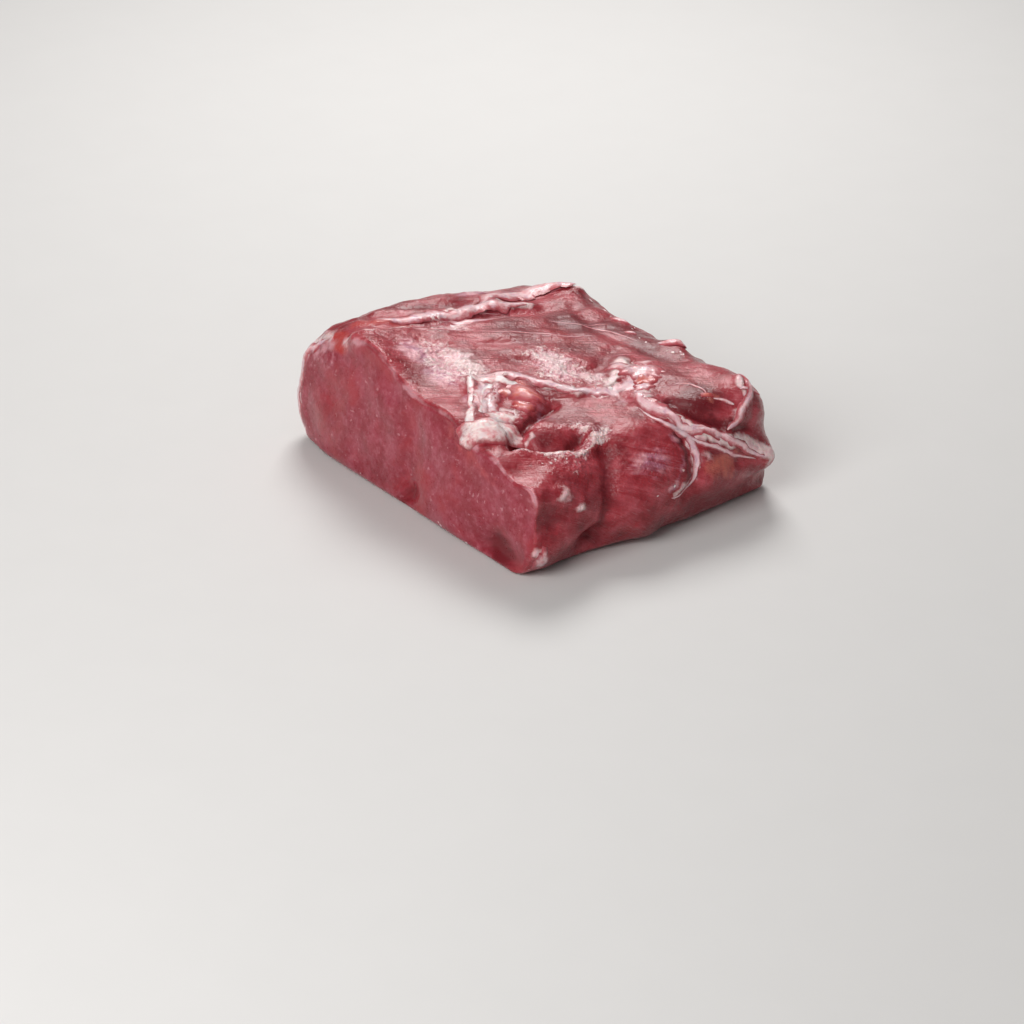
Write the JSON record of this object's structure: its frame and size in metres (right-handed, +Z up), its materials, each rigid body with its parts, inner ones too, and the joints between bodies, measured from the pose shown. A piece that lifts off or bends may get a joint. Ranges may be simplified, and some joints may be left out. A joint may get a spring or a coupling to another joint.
{
  "type": "boneless raw meat joint",
  "caption": "Boneless block of raw pale red meat with one straight knife-cut face, fat, silverskin and tendon on its folded top, lying on a flat underside",
  "frame": {"origin": "Middle of the bounding box's base, in the plane that the meat rests on", "axes": "+X along the long side, from the tall shoulder to the low end with the tendon; +Y from the knife-cut face to the trimmed back; +Z up"},
  "size_m": [0.2292, 0.1766, 0.0815],
  "materials": {
    "raw_meat": "wet, translucent red meat with pale marbling, white fat and silverskin"
  },
  "bodies": {
    "root": {"meat_joint": "raw_meat"}
  },
  "joints": []
}
